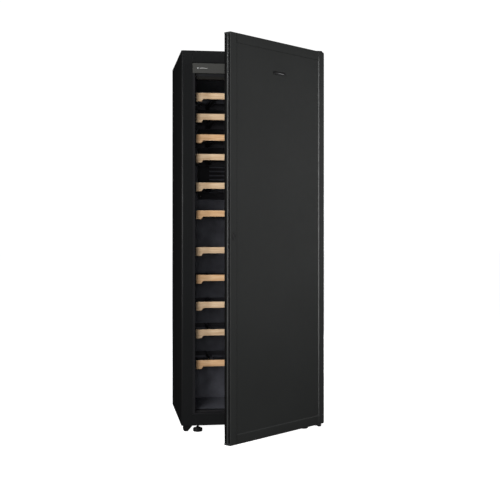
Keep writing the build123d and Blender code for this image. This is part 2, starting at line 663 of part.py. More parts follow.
# ---- write every node ----
os.makedirs("parts", exist_ok=True)
nodes = {
    "casing_sides": solids_of(casing_side(-1), casing_side(1)),
    "casing_top": casing_top(),
    "casing_back": casing_back(),
    "casing_base": casing_base(),
    "insulation_foam": insulation_foam(),
    "liner_sides": liner_sides(),
    "liner_back": liner_back(),
    "liner_ceiling": liner_ceiling(),
    "liner_floor": liner_floor(),
    "shelf_runners": shelf_runners(),
    "throat_frame": throat_frame(),
    "control_fascia": control_fascia(),
    "display_window": display_window(),
    "button_down": button(BUTTON_X[0]),
    "button_up": button(BUTTON_X[1]),
    "light_diffuser": light_diffuser(),
    "evaporator_cover": evaporator_cover(),
    "fan_rotor": fan_rotor(),
    "compressor": compressor(),
    "condenser": condenser(),
    "power_inlet": power_inlet(),
    "hinge_brackets": hinge_brackets(),
    "hinge_cap": hinge_cap(),
    "corner_skid": corner_skid(),
    "levelling_foot_left": levelling_foot(-FOOT_X),
    "levelling_foot_right": levelling_foot(FOOT_X),
    "rear_feet": rear_feet(),
    "screws": screws(),
    "door_frame": door_frame(),
    "door_skin": door_skin(),
    "door_foam": door_foam(),
    "door_liner": door_liner(),
    "door_gasket": door_gasket(),
    "door_end_caps": door_end_caps(),
    "hinge_bushes": hinge_bushes(),
    "lock_escutcheon": lock_escutcheon(),
    "lock_cylinder": lock_cylinder(),
    "badge": badge(),
}
for number, top in enumerate(SHELF_TOPS, start=1):
    nodes[f"shelf_front_{number:02d}"] = shelf_front(top)
    nodes[f"shelf_tray_{number:02d}"] = shelf_tray(top)

for name, shape in nodes.items():
    export_step(shape, f"parts/{name}.step")
print(len(nodes), "nodes written")
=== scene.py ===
import json
import math

import bmesh
import bpy
from mathutils import Matrix, Vector


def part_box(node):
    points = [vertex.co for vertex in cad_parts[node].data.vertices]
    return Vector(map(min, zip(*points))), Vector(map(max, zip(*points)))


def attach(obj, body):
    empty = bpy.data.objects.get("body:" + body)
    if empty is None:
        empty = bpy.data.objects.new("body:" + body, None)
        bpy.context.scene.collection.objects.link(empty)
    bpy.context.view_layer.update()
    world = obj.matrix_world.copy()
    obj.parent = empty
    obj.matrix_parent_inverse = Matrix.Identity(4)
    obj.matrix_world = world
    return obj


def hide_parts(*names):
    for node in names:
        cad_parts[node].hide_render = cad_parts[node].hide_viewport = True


# The looks of a tall wine cooler, in metres, in the frame of its CAD model: X right, -Y to the
# front, Z up. The door stands open; its pieces are worked out closed and then turned by HANG.

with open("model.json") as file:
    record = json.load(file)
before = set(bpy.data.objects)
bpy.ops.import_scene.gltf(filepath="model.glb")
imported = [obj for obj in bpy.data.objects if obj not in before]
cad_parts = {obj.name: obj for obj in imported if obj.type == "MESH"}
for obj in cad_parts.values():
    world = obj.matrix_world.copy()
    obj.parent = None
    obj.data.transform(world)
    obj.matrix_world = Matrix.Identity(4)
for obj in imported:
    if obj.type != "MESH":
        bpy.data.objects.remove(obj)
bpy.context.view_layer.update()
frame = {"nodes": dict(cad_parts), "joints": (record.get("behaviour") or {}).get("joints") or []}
NODES = frame["nodes"]
JOINTS = {j["name"]: j for j in frame["joints"]}

MM = 0.001
CORNERS = ((-1, -1), (1, -1), (1, 1), (-1, 1))   # the signs round a rectangle
SHELVES = [f"{k:02d}" for k in range(1, 12)]
HINGE = JOINTS["door_hinge"]
DOOR_OPEN = -math.radians(HINGE["range_deg"][0])
AXIS = Vector(HINGE["pos_m"])
HANG = Matrix.Translation(AXIS) @ Matrix.Rotation(DOOR_OPEN, 4, "Z") @ Matrix.Translation(-AXIS)


def closed_box(node):
    """Lowest and highest corner of a door node as it is when the door is closed."""
    back = HANG.inverted()
    points = [back @ v.co for v in NODES[node].data.vertices]
    low = Vector(min(p[k] for p in points) for k in range(3))
    high = Vector(max(p[k] for p in points) for k in range(3))
    return low, high


# ---------------------------------------------------------------- materials
class Surface:
    """A node material: a Principled shader with object coordinates, in metres, behind it."""

    def __init__(self, name, roughness=0.5, metallic=0.0, specular=0.5):
        self.material = bpy.data.materials.new(name)
        self.material.use_nodes = True
        self.tree = self.material.node_tree
        self.tree.nodes.clear()
        self.output = self.tree.nodes.new("ShaderNodeOutputMaterial")
        self.shader = self.tree.nodes.new("ShaderNodeBsdfPrincipled")
        self.shader.inputs["Roughness"].default_value = roughness
        self.shader.inputs["Metallic"].default_value = metallic
        self.shader.inputs["Specular IOR Level"].default_value = specular
        self.link(self.shader.outputs[0], self.output.inputs[0])
        self.place = self.tree.nodes.new("ShaderNodeTexCoord").outputs["Object"]

    def link(self, source, target):
        self.tree.links.new(source, target)

    def set(self, **values):
        for key, value in values.items():
            self.shader.inputs[key.replace("_", " ")].default_value = value
        return self

    def stretched(self, scale, offset=(0, 0, 0)):
        """Object coordinates, scaled along each axis and moved."""
        node = self.tree.nodes.new("ShaderNodeMapping")
        node.inputs["Location"].default_value = offset
        node.inputs["Scale"].default_value = scale
        self.link(self.place, node.inputs["Vector"])
        return node.outputs[0]

    def noise(self, scale, detail=2.0, place=None, distortion=0.0):
        node = self.tree.nodes.new("ShaderNodeTexNoise")
        node.inputs["Scale"].default_value = scale
        node.inputs["Detail"].default_value = detail
        node.inputs["Distortion"].default_value = distortion
        self.link(place or self.place, node.inputs["Vector"])
        return node.outputs["Fac"]

    def cells(self, scale, place=None, feature="F1"):
        node = self.tree.nodes.new("ShaderNodeTexVoronoi")
        node.feature = feature
        node.inputs["Scale"].default_value = scale
        self.link(place or self.place, node.inputs["Vector"])
        return node.outputs["Distance"]

    def waves(self, scale, direction="Z", distortion=0.0, place=None):
        node = self.tree.nodes.new("ShaderNodeTexWave")
        node.bands_direction = direction
        node.inputs["Scale"].default_value = scale
        node.inputs["Distortion"].default_value = distortion
        node.inputs["Detail"].default_value = 3.0
        self.link(place or self.place, node.inputs["Vector"])
        return node.outputs["Fac"]

    def ramp(self, value, *stops):
        """A colour ramp over value, from (place, colour) stops."""
        node = self.tree.nodes.new("ShaderNodeValToRGB")
        while len(node.color_ramp.elements) < len(stops):
            node.color_ramp.elements.new(0.5)
        for element, (at, colour) in zip(node.color_ramp.elements, stops):
            element.position = at
            element.color = (*colour, 1.0)
        self.link(value, node.inputs["Fac"])
        return node.outputs["Color"]

    def spread(self, value, low, high):
        """value from 0..1 to low..high."""
        node = self.tree.nodes.new("ShaderNodeMapRange")
        node.inputs["To Min"].default_value = low
        node.inputs["To Max"].default_value = high
        self.link(value, node.inputs["Value"])
        return node.outputs["Result"]

    def mixed(self, amount, first, second, blend="MIX"):
        """Two colours mixed; amount is a socket or a number."""
        node = self.tree.nodes.new("ShaderNodeMix")
        node.data_type = "RGBA"
        node.blend_type = blend
        for socket, value in ((node.inputs[0], amount), (node.inputs[6], first), (node.inputs[7], second)):
            if isinstance(value, bpy.types.NodeSocket):
                self.link(value, socket)
            elif isinstance(value, tuple):
                socket.default_value = (*value, 1.0)
            else:
                socket.default_value = value
        return node.outputs[2]

    def colour(self, socket):
        self.link(socket, self.shader.inputs["Base Color"])
        return self

    def rough(self, socket):
        self.link(socket, self.shader.inputs["Roughness"])
        return self

    def relief(self, height, depth, strength=1.0, after=None):
        """A bump of this depth in metres; after is an earlier bump to add to."""
        node = self.tree.nodes.new("ShaderNodeBump")
        node.inputs["Strength"].default_value = strength
        node.inputs["Distance"].default_value = depth
        self.link(height, node.inputs["Height"])
        if after is not None:
            self.link(after, node.inputs["Normal"])
        self.link(node.outputs[0], self.shader.inputs["Normal"])
        return node.outputs[0]


def scaled(colour, factor):
    return tuple(c * factor for c in colour)


def satin_paint(name, colour, roughness=0.42, specular=0.35):
    """Stoved paint on sheet steel: slight cloudiness, fine orange peel, uneven gloss."""
    s = Surface(name, roughness, specular=specular)
    s.colour(s.ramp(s.noise(2.6, 3), (0.3, scaled(colour, 0.93)), (0.7, scaled(colour, 1.07))))
    s.rough(s.spread(s.noise(30, 4), roughness - 0.05, roughness + 0.05))
    peel = s.relief(s.noise(420, 2), 0.00002, 0.35)
    s.relief(s.noise(2600, 1), 0.000006, 0.4, peel)
    return s.material


def moulded_plastic(name, colour, roughness=0.5, grain=1400, depth=0.00003, specular=0.4):
    """Moulded plastic with an eroded grain."""
    s = Surface(name, roughness, specular=specular)
    s.colour(s.ramp(s.noise(14, 3), (0.35, scaled(colour, 0.92)), (0.65, scaled(colour, 1.08))))
    s.rough(s.spread(s.noise(90, 3), roughness - 0.06, roughness + 0.06))
    s.relief(s.noise(grain, 3), depth, 0.5)
    return s.material


def embossed_sheet(name, colour):
    """Dark stucco-embossed aluminium of the cavity."""
    s = Surface(name, 0.4, metallic=0.2, specular=0.4)
    s.colour(s.ramp(s.noise(20, 4), (0.3, scaled(colour, 0.85)), (0.7, scaled(colour, 1.2))))
    s.rough(s.spread(s.noise(60, 3), 0.34, 0.5))
    ridges = s.cells(190, s.stretched((1, 1, 0.6)), "SMOOTH_F1")
    s.relief(ridges, 0.0006, 0.6)
    return s.material


def brushed_metal(name, colour, roughness=0.32, along=(1, 40, 40)):
    """Metal with fine brushing along one axis."""
    s = Surface(name, roughness, metallic=1.0)
    lines = s.noise(60, 5, s.stretched(along))
    s.colour(s.ramp(lines, (0.3, scaled(colour, 0.82)), (0.7, scaled(colour, 1.12))))
    s.rough(s.spread(lines, roughness - 0.07, roughness + 0.1))
    s.relief(lines, 0.00002, 0.4)
    return s.material


def rubber(name, colour):
    s = Surface(name, 0.62, specular=0.35)
    s.colour(s.ramp(s.noise(55, 4), (0.35, scaled(colour, 0.85)), (0.65, scaled(colour, 1.2))))
    s.relief(s.noise(900, 3), 0.00004, 0.45)
    return s.material


WARM_BOARDS = (3, 6, 8, 11)


def beech(number):
    """Lacquered beech, each board with its own grain and shade; some boards are redder."""
    seed = (number * 1.37, number * 0.73, number * 2.11)
    s = Surface(f"beech_{number:02d}", 0.46, specular=0.35)
    shade = 0.73 + 0.03 * math.sin(number * 2.4)
    tones = ((0.86, 0.60, 0.37), (0.77, 0.49, 0.27), (0.58, 0.33, 0.16))
    if number not in WARM_BOARDS:
        tones = ((0.86, 0.67, 0.46), (0.78, 0.57, 0.37), (0.6, 0.40, 0.23))
    pale, mid, dark = (scaled(tone, shade) for tone in tones)
    rings = s.waves(15, "Z", 5.0, s.stretched((0.25, 2.2, 2.6), seed))
    streaks = s.noise(26, 7, s.stretched((0.55, 9, 15), seed), 0.5)
    base = s.ramp(streaks, (0.28, dark), (0.5, mid), (0.68, pale))
    growth = s.ramp(rings, (0.0, (0.86, 0.8, 0.74)), (0.55, (1.0, 1.0, 1.0)))
    fibre = s.noise(120, 3, s.stretched((0.8, 22, 26), seed))
    flecks = s.ramp(fibre, (0.33, (0.62, 0.5, 0.4)), (0.41, (1.0, 1.0, 1.0)))
    toned = s.mixed(0.55, base, growth, "MULTIPLY")
    s.colour(s.mixed(0.5, toned, flecks, "MULTIPLY"))
    s.rough(s.spread(streaks, 0.38, 0.55))
    s.relief(fibre, 0.00006, 0.5)
    return s.material


def fascia_finish(name, colour):
    """Grey painted strip with a faint metallic, horizontally brushed sheen."""
    s = Surface(name, 0.4, metallic=0.35, specular=0.45)
    lines = s.noise(70, 5, s.stretched((1, 30, 60)))
    s.colour(s.ramp(lines, (0.35, scaled(colour, 0.9)), (0.65, scaled(colour, 1.1))))
    s.rough(s.spread(lines, 0.34, 0.48))
    s.relief(lines, 0.000015, 0.4)
    return s.material


def smoked_glass(name, colour):
    s = Surface(name, 0.12, specular=0.5)
    s.colour(s.ramp(s.noise(40, 2), (0.3, scaled(colour, 0.9)), (0.7, scaled(colour, 1.1))))
    s.rough(s.spread(s.noise(200, 3), 0.08, 0.16))
    return s.material


def frosted(name, colour):
    """Frosted light bar with fine ribs."""
    s = Surface(name, 0.45, specular=0.4)
    ribs = s.waves(160, "X")
    s.colour(s.ramp(ribs, (0.0, scaled(colour, 0.85)), (1.0, colour)))
    s.rough(s.spread(s.noise(300, 2), 0.4, 0.55))
    s.relief(ribs, 0.0002, 0.4)
    return s.material


def glowing(name, colour, strength):
    """Lit segments, slightly uneven."""
    s = Surface(name, 0.4)
    s.colour(s.ramp(s.noise(900, 2), (0.3, scaled(colour, 0.85)), (0.7, colour)))
    s.rough(s.spread(s.noise(500, 2), 0.35, 0.5))
    return s.set(Emission_Color=(*colour, 1.0), Emission_Strength=strength).material


MATERIALS = {
    "cabinet": satin_paint("cabinet_paint", (0.0095, 0.0098, 0.0102), 0.4, 0.33),
    "door": satin_paint("door_paint", (0.021, 0.022, 0.0215), 0.45, 0.25),
    "profile": satin_paint("door_profile", (0.0215, 0.0225, 0.022), 0.46, 0.25),
    # bead: a glossier copy of the profile paint, a little lighter in colour. The gloss is finish; the lighter
    # colour is a painted highlight on the bead and the hinge-side bevel.
    "bead": satin_paint("door_paint_painted_highlight", (0.024, 0.025, 0.025), 0.34, 0.4),
    # recess: near-black matt plastic. In the finger groove it is painted shade, darker than the groove's
    # depth shades it; behind the bead it is the door's black plastic trim.
    "recess": moulded_plastic("painted_shade_and_black_trim", (0.003, 0.003, 0.003), 0.75, specular=0.1),
    "liner": embossed_sheet("liner_sheet", (0.13, 0.133, 0.155)),
    "throat": moulded_plastic("throat_plastic", (0.013, 0.013, 0.014), 0.46),
    "tray": moulded_plastic("tray_plastic", (0.04, 0.04, 0.045), 0.55),
    "duct": moulded_plastic("duct_plastic", (0.025, 0.025, 0.028), 0.5),
    "cap": moulded_plastic("cap_plastic", (0.012, 0.012, 0.0125), 0.4),
    "foot": moulded_plastic("foot_plastic", (0.006, 0.006, 0.006), 0.5),
    "fascia": fascia_finish("fascia_grey", (0.077, 0.077, 0.073)),
    "glass": smoked_glass("display_glass", (0.006, 0.006, 0.008)),
    "diffuser": frosted("diffuser", (0.014, 0.0135, 0.0125)),
    "rubber": rubber("gasket_rubber", (0.012, 0.012, 0.012)),
    "steel": brushed_metal("screw_steel", (0.42, 0.42, 0.43)),
    "dark_steel": brushed_metal("hinge_steel", (0.09, 0.09, 0.092), 0.4),
    "badge": brushed_metal("badge_metal", (0.06, 0.06, 0.062), 0.45),
    "machine": satin_paint("machine_paint", (0.012, 0.012, 0.013), 0.38, 0.5),
    "bush": moulded_plastic("bush_plastic", (0.55, 0.55, 0.52), 0.4),
    "foam": moulded_plastic("foam", (0.75, 0.66, 0.42), 0.9, 500, 0.0004),
    "copper": brushed_metal("copper", (0.62, 0.27, 0.14), 0.3, (6, 6, 6)),
    "print": moulded_plastic("print_grey", (0.42, 0.42, 0.41), 0.5),
    "lens": smoked_glass("lens_pale", (0.45, 0.46, 0.46)),
    "lit": glowing("display_lit", (0.75, 0.85, 0.9), 0.7),
}


# ---------------------------------------------------------------- mesh helpers
def piece_from(name, bm, material, body, smooth_angle=40):
    """Turn a bmesh into a shaded piece that rides on a body."""
    bmesh.ops.recalc_face_normals(bm, faces=bm.faces)
    for face in bm.faces:
        face.smooth = True
    for edge in bm.edges:
        edge.smooth = len(edge.link_faces) == 2 and edge.calc_face_angle(0) < math.radians(smooth_angle)
    mesh = bpy.data.meshes.new(name)
    bm.to_mesh(mesh)
    bm.free()
    mesh.materials.append(material)
    obj = bpy.data.objects.new(name, mesh)
    bpy.context.scene.collection.objects.link(obj)
    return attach(obj, body)


def prism(points, direction, radius=0.0, segments=2):
    """A flat outline of 3-D points carried along direction, with every edge rounded."""
    bm = bmesh.new()
    face = bm.faces.new([bm.verts.new(p) for p in points])
    grown = bmesh.ops.extrude_face_region(bm, geom=[face])
    moved = [v for v in grown["geom"] if isinstance(v, bmesh.types.BMVert)]
    bmesh.ops.translate(bm, verts=moved, vec=direction)
    if radius:
        bmesh.ops.bevel(
            bm, geom=list(bm.edges), offset=radius, segments=segments, profile=0.5, affect="EDGES"
        )
    return bm


def brick(low, high, radius, segments=2):
    """A box between two corners with rounded edges."""
    x0, y0, z0 = low
    x1, y1, z1 = high
    outline = [(x0, y0, z0), (x1, y0, z0), (x1, y0, z1), (x0, y0, z1)]
    return prism(outline, (0, y1 - y0, 0), radius, segments)


def lathe(profile, centre, steps=72, shape=None, ring=False):
    """(radius, z) points turned about Z at centre; shape(radius, angle, z) may adjust a radius.

    A ring joins its last point to its first; any other shape is closed with flat ends."""
    bm = bmesh.new()
    circles = []
    for radius, z in profile:
        circle = []
        for k in range(steps):
            angle = 2 * math.pi * k / steps
            r = shape(radius, angle, z) if shape else radius
            circle.append(bm.verts.new((centre[0] + r * math.cos(angle), centre[1] + r * math.sin(angle), z)))
        circles.append(circle)
    for low, high in zip(circles, circles[1:] + circles[:1] if ring else circles[1:]):
        for k in range(steps):
            bm.faces.new((low[k], low[(k + 1) % steps], high[(k + 1) % steps], high[k]))
    if not ring:
        bm.faces.new(circles[0][::-1])
        bm.faces.new(circles[-1])
    return bm


def facing(bm, centre, towards):
    """Turn a lathed shape so that its +Z points along towards, and put it at centre."""
    turn = Vector(towards).to_track_quat("Z", "Y").to_matrix().to_4x4()
    bmesh.ops.transform(bm, matrix=Matrix.Translation(centre) @ turn, verts=bm.verts)
    return bm


def joined(*shapes):
    """Several bmeshes as one."""
    whole = bmesh.new()
    for bm in shapes:
        mesh = bpy.data.meshes.new("part")
        bm.to_mesh(mesh)
        bm.free()
        whole.from_mesh(mesh)
        bpy.data.meshes.remove(mesh)
    return whole


def hung(bm):
    """Turn a shape of the closed door to the resting angle."""
    bmesh.ops.transform(bm, matrix=HANG, verts=bm.verts)
    return bm


def tube(name, points, radius, material, body):
    """Round tube along a smooth curve through a few points."""
    curve = bpy.data.curves.new(name, "CURVE")
    curve.dimensions = "3D"
    curve.bevel_depth = radius
    curve.bevel_resolution = 5
    curve.use_fill_caps = True
    spline = curve.splines.new("NURBS")
    spline.points.add(len(points) - 1)
    for point, place in zip(spline.points, points):
        point.co = (*place, 1.0)
    spline.order_u = 3
    spline.use_endpoint_u = True
    spline.resolution_u = 8
    scratch = bpy.data.objects.new(name, curve)
    mesh = bpy.data.meshes.new_from_object(scratch)
    bpy.data.objects.remove(scratch)
    bm = bmesh.new()
    bm.from_mesh(mesh)
    bpy.data.meshes.remove(mesh)
    bmesh.ops.remove_doubles(bm, verts=bm.verts, dist=0.00001)
    return piece_from(name, bm, material, body, 50)


def paint(material, *nodes):
    for node in nodes:
        NODES[node].data.materials.clear()
        NODES[node].data.materials.append(MATERIALS[material])


def soften(radius, *nodes):
    """Break the sharp edges of CAD nodes with a small bevel, for their highlights."""
    for node in nodes:
        obj = NODES[node]
        weld = obj.modifiers.new("weld", "WELD")
        weld.merge_threshold = 0.00002
        flat = obj.modifiers.new("flat", "DECIMATE")
        flat.decimate_type = "DISSOLVE"
        flat.angle_limit = math.radians(1)
        bevel = obj.modifiers.new("bevel", "BEVEL")
        bevel.width = radius
        bevel.segments = 2
        bevel.limit_method = "ANGLE"
        bevel.angle_limit = math.radians(35)
        bevel.harden_normals = True


# ---------------------------------------------------------------- carried-over CAD nodes
paint("cabinet", "casing_sides", "casing_top", "casing_back", "casing_base")
paint("foam", "insulation_foam", "door_foam")
paint("liner", "liner_sides", "liner_back", "liner_ceiling", "liner_floor")
paint("throat", "throat_frame")
paint("tray", "shelf_runners", *[f"shelf_tray_{k}" for k in SHELVES])
paint("fascia", "control_fascia")
paint("glass", "display_window")
paint("cap", "button_down", "button_up", "hinge_cap", "power_inlet", "lock_escutcheon")
paint("diffuser", "light_diffuser")
paint("duct", "evaporator_cover", "fan_rotor")
paint("machine", "compressor", "condenser")
paint("dark_steel", "hinge_brackets", "lock_cylinder")
paint("foot", "corner_skid", "rear_feet")
paint("steel", "screws")
paint("door", "door_skin")
paint("bush", "hinge_bushes")

soften(0.6 * MM, "casing_sides", "casing_top", "casing_back", "casing_base")
soften(0.5 * MM, "throat_frame", "control_fascia", "light_diffuser", "shelf_runners", "evaporator_cover")
soften(0.8 * MM, "corner_skid", "hinge_brackets", "power_inlet", *[f"shelf_tray_{k}" for k in SHELVES])


# ---------------------------------------------------------------- shelves
LUG_DROP = 12.5 * MM
LUG = 26 * MM
LUG_SLOPE = 9 * MM
BOARD_EASE = 2.2 * MM


def shelf_front(number):
    """Beech board with a lug at each end, all edges eased, held by two screws from behind."""
    node = f"shelf_front_{number}"
    low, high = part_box(node)
    edge = low.z + LUG_DROP
    left, right = low.x + LUG, high.x - LUG
    outline = [
        (low.x, high.z), (high.x, high.z), (high.x, low.z), (right, low.z),
        (right - LUG_SLOPE, edge), (left + LUG_SLOPE, edge), (left, low.z), (low.x, low.z),
    ]
    bm = prism([(x, low.y, z) for x, z in outline], (0, high.y - low.y, 0), BOARD_EASE, 3)
    board = piece_from(f"beech_front_{number}", bm, beech(int(number)), f"shelf_{number}")
    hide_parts(node)


CRADLES = 5
CRADLE_X = 165 * MM
TRAY_EDGE = 14 * MM
NOTCH_DEPTH = 9 * MM
PAD_HALF = (7 * MM, 15 * MM)


def shelf_pads(number):
    """Soft pads in the notches of the cradle bars, where the bottles lie."""
    low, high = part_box(f"shelf_tray_{number}")
    y0, y1 = low.y + TRAY_EDGE, high.y - TRAY_EDGE
    pitch = (y1 - y0) / CRADLES
    notch_z = high.z - NOTCH_DEPTH
    half_x, half_y = PAD_HALF
    pads = []
    for x in (-CRADLE_X, 0, CRADLE_X):
        for k in range(CRADLES):
            mid = y0 + pitch * (k + 0.5)
            lowest = (x - half_x, mid - half_y, notch_z - 0.4 * MM)
            highest = (x + half_x, mid + half_y, notch_z + 1.4 * MM)
            pads.append(brick(lowest, highest, 0.6 * MM))
    pad = piece_from(f"cradle_pads_{number}", joined(*pads), MATERIALS["rubber"], f"shelf_{number}")


for number in SHELVES:
    shelf_front(number)
    shelf_pads(number)


# ---------------------------------------------------------------- feet
# Outlines in millimetres: the pad's as (distance in from its rim, z), the nut's as (radius, z).
PAD_OUTLINE = (
    (7, 0), (2.2, 0), (0.9, 0.8), (0.3, 2.6), (0.0, 5.0), (0.0, 12.5), (0.3, 14.6), (1.1, 16.3),
    (2.6, 17.6), (5, 18.2), (12, 18.6), (15, 18.8),
)
NUT_OUTLINE = ((6.4, 18.4), (8.2, 18.6), (8.2, 23.2), (6.6, 24.0))
NUT_TOP = NUT_OUTLINE[-1][1] * MM
NUT_HALF_FLATS = 6.8 * MM
GRIP_RIBS = 48
GRIP_DEPTH = 0.45 * MM
GRIP_FROM = 3 * MM
GRIP_TO = 14 * MM
THREAD_RADIUS = 5.0 * MM
THREAD_PITCH = 1.5 * MM
THREAD_DEPTH = 0.7 * MM
THREAD_STEPS = 6


def hexagon(flat_radius):
    """Radius of a hexagon at an angle, from half its width across flats."""
    sector = math.pi / 3
    return lambda angle: flat_radius / math.cos((angle % sector) - sector / 2)


def levelling_foot(node, body):
    """Knurled pad, chamfered hexagon and threaded stem, turned about the foot's axis."""
    low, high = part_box(node)
    centre = ((low.x + high.x) / 2, (low.y + high.y) / 2)
    rim = (high.x - low.x) / 2
    flats = hexagon(NUT_HALF_FLATS)

    def grip(radius, angle, z):
        hollow = GRIP_FROM < z < GRIP_TO and math.sin(angle * GRIP_RIBS) > 0
        return radius - GRIP_DEPTH if hollow else radius

    def hexagonal(radius, angle, z):
        return min(radius, flats(angle))

    def threaded(radius, angle, z):
        return radius - THREAD_DEPTH / 2 * (1 - math.cos(2 * math.pi * z / THREAD_PITCH - angle))

    pad = lathe([(rim - f * MM, z * MM) for f, z in PAD_OUTLINE], centre, GRIP_RIBS * 4, grip)
    nut = lathe([(r * MM, z * MM) for r, z in NUT_OUTLINE], centre, 72, hexagonal)
    step = THREAD_PITCH / THREAD_STEPS
    steps = int((high.z - NUT_TOP) / step)
    stem = [(THREAD_RADIUS, NUT_TOP + k * step) for k in range(steps + 1)]
    thread = lathe(stem, centre, 48, threaded)
    foot = piece_from(f"{node}_pad", pad, MATERIALS["foot"], body)
    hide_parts(node)
    screw = piece_from(f"{node}_stem", joined(nut, thread), MATERIALS["dark_steel"], body, 55)


levelling_foot("levelling_foot_left", "left_foot")
levelling_foot("levelling_foot_right", "right_foot")


# ---------------------------------------------------------------- door
SEAL_WIDE = 13 * MM
# One half of the seal's section; the other mirrors it. Shares of its width and of its depth.
SEAL_HALF = ((0.0, 0.0), (0.02, 0.3), (0.18, 0.42), (0.04, 0.56), (0.06, 0.84), (0.14, 1.0))


def door_seal():
    """Magnetic seal with two bellows folds, mitred round the four corners."""
    low, high = closed_box("door_gasket")
    depth = high.y - low.y
    section = list(SEAL_HALF) + [(1 - across, out) for across, out in reversed(SEAL_HALF)]
    bm = bmesh.new()
    rings = []
    for sx, sz in CORNERS:
        corner_x = high.x if sx > 0 else low.x
        corner_z = high.z if sz > 0 else low.z
        ring = []
        for across, out in section:
            step = across * SEAL_WIDE
            ring.append(bm.verts.new((corner_x - sx * step, low.y + out * depth, corner_z - sz * step)))
        rings.append(ring)
    for here, there in zip(rings, rings[1:] + rings[:1]):
        for k in range(len(section)):
            nxt = (k + 1) % len(section)
            bm.faces.new((here[k], here[nxt], there[nxt], there[k]))
    seal = piece_from("door_seal", hung(bm), MATERIALS["rubber"], "door", 25)
    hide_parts("door_gasket")


def inner_panel():
    """Moulded inner door panel: a raised field with soft edges and shallow upright beads."""
    low, high = closed_box("door_liner")
    back = high.y
    steps_x, steps_z = 96, 60
    margin, blend, rise = 18 * MM, 12 * MM, 2.6 * MM
    beads, bead_wide, bead_deep = 7, 26 * MM, 1.2 * MM
    bead_inset, bead_fade = 60 * MM, 40 * MM

    def smooth(t):
        t = min(max(t, 0.0), 1.0)
        return t * t * (3 - 2 * t)

    def height(x, z):
        edge = min(x - low.x, high.x - x, z - low.z, high.z - z)
        field = smooth((edge - margin) / blend)
        across = (x - low.x) / (high.x - low.x) * (beads + 1)
        off = abs(across - round(across)) * (high.x - low.x) / (beads + 1)
        on_bead = 0.5 < across < beads + 0.5
        inside = smooth((edge - margin - bead_inset) / bead_fade) if on_bead else 0.0
        return field * rise - inside * bead_deep * smooth(1.4 - off / (bead_wide / 2))

    def spots(a, b, count, fine):
        """Places from a to b, packed closer near the ends."""
        near = [a + fine * k / 6 for k in range(7)]
        far = [b - fine * (6 - k) / 6 for k in range(7)]
        middle = [a + fine + (b - a - 2 * fine) * k / count for k in range(1, count)]
        return near + middle + far

    xs = spots(low.x, high.x, steps_x, margin + blend)
    zs = spots(low.z, high.z, steps_z, margin + blend)
    bm = bmesh.new()
    grid = [[bm.verts.new((x, back + height(x, z), z)) for x in xs] for z in zs]
    for row, above in zip(grid, grid[1:]):
        for k in range(len(xs) - 1):
            bm.faces.new((row[k], row[k + 1], above[k + 1], above[k]))
    rim = bmesh.ops.extrude_edge_only(bm, edges=[e for e in bm.edges if e.is_boundary])
    moved = [v for v in rim["geom"] if isinstance(v, bmesh.types.BMVert)]
    bmesh.ops.translate(bm, verts=moved, vec=(0, low.y - back, 0))
    bmesh.ops.contextual_create(bm, geom=[e for e in bm.edges if e.is_boundary])
    panel = piece_from("door_inner_panel", hung(bm), MATERIALS["duct"], "door", 50)
    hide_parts("door_liner")


def blank_badge():
    """Slim dark plate with a fine metal rule along its middle."""
    low, high = closed_box("badge")
    body = brick(low, high, 0.45 * MM, 3)
    plate = piece_from("badge_plate", hung(body), MATERIALS["badge"], "door")
    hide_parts("badge")
    mid_x, mid_z = (low.x + high.x) / 2, (low.z + high.z) / 2
    half = (high.x - low.x) * 0.34
    thin = 1.3 * MM
    rule = brick(
        (mid_x - half, low.y - 0.35 * MM, mid_z - thin),
        (mid_x + half, low.y + 0.3 * MM, mid_z + thin),
        0.3 * MM,
    )
    line = piece_from("badge_rule", hung(rule), MATERIALS["steel"], "door")


def arc(cx, cy, radius, start, end, steps=6):
    """Points on an arc, angles in degrees."""
    turns = [math.radians(start + (end - start) * k / steps) for k in range(steps + 1)]
    return [(cx + radius * math.cos(t), cy + radius * math.sin(t)) for t in turns]


LIP = 2.5 * MM          # rounding of the door's outer front edges
BEVEL = 4 * MM          # slope from the border down to the skin
REAR_EASE = 4 * MM      # chamfer of the rear edge on the hinge side
CAP_FREE = 8 * MM       # height of the corner pieces on the free side
CAP_HINGE = 30 * MM     # the same on the hinge side


